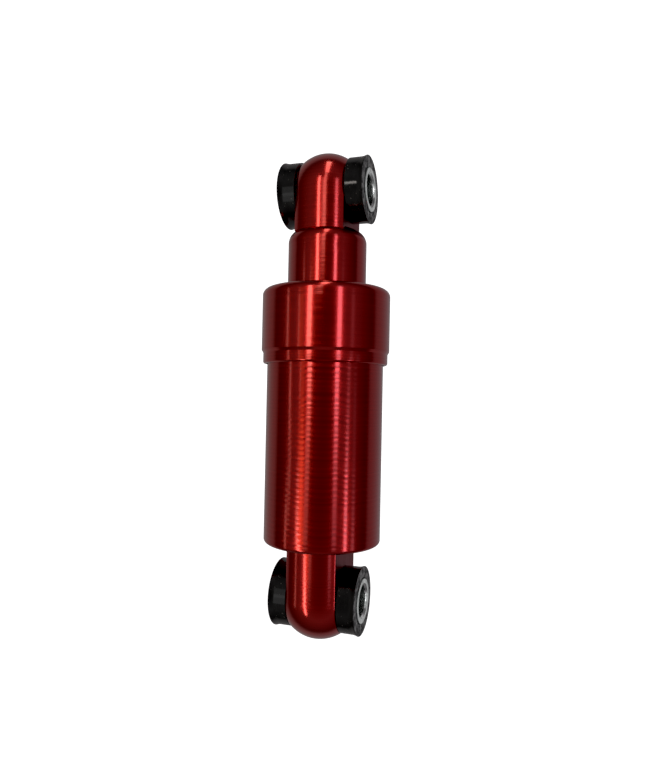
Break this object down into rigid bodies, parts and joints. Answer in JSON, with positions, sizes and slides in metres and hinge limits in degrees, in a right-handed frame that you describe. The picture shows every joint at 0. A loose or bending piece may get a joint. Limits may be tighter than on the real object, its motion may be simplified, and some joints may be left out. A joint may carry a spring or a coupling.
{
  "type": "rear shock",
  "caption": "Small coil-spring rear shock in red anodised aluminium, with bushed eyes at both ends and a short enclosed stroke.",
  "frame": {"origin": "centre of the lower eye's bolt hole", "axes": "+Z along the shock to the upper eye, +X along the eye bolts, +Y across both"},
  "size_m": [0.0348, 0.0348, 0.1314],
  "materials": {
    "red_anodised": "turned and anodised dark red, glossy",
    "black_nylon": "moulded black nylon, satin",
    "zinc_steel": "zinc-plated, machined",
    "screw_steel": "plated steel",
    "spring_steel": "oiled spring steel",
    "bare_aluminium": "machined, bare",
    "guide_bronze": "sintered bronze",
    "seal_rubber": "matte black rubber",
    "bumper_urethane": "amber urethane",
    "wear_ring_plastic": "brown bearing plastic"
  },
  "bodies": {
    "cylinder": {"outer_body": "red_anodised", "end_cap": "red_anodised", "cap_o_ring": "seal_rubber", "guide_bush": "guide_bronze", "wiper_seal": "seal_rubber", "lower_eye": "red_anodised", "lower_eye_screw": "screw_steel", "lower_eye_washer": "screw_steel", "lower_spring_seat": "screw_steel", "bottom_out_bumper": "bumper_urethane", "main_spring": "spring_steel", "lower_bushing_right": "black_nylon", "lower_bushing_left": "black_nylon"},
    "thrust_seat": {"upper_spring_seat": "screw_steel"},
    "rod": {"upper_eye": "red_anodised", "piston": "bare_aluminium", "piston_ring": "wear_ring_plastic", "piston_screw": "screw_steel", "piston_washer": "screw_steel", "top_out_bumper": "seal_rubber", "upper_bushing_right": "black_nylon", "upper_bushing_left": "black_nylon"},
    "lower_bolt_sleeve": {"lower_sleeve": "zinc_steel"},
    "upper_bolt_sleeve": {"upper_sleeve": "zinc_steel"}
  },
  "joints": [
    {"name": "compression", "type": "slide", "parent": "cylinder", "child": "thrust_seat", "axis": [0, 0, -1], "range_m": [0, 0.012], "stiffness_N_per_m": 63800, "deforming": ["main_spring"]},
    {"name": "rod_swivel", "type": "hinge", "parent": "thrust_seat", "child": "rod", "pos_m": [0, 0, 0.061], "axis": [0, 0, 1], "continuous": true},
    {"name": "lower_sleeve_turn", "type": "hinge", "parent": "cylinder", "child": "lower_bolt_sleeve", "pos_m": [0, 0, 0], "axis": [1, 0, 0], "continuous": true},
    {"name": "upper_sleeve_turn", "type": "hinge", "parent": "rod", "child": "upper_bolt_sleeve", "pos_m": [0, 0, 0.11], "axis": [1, 0, 0], "continuous": true}
  ]
}
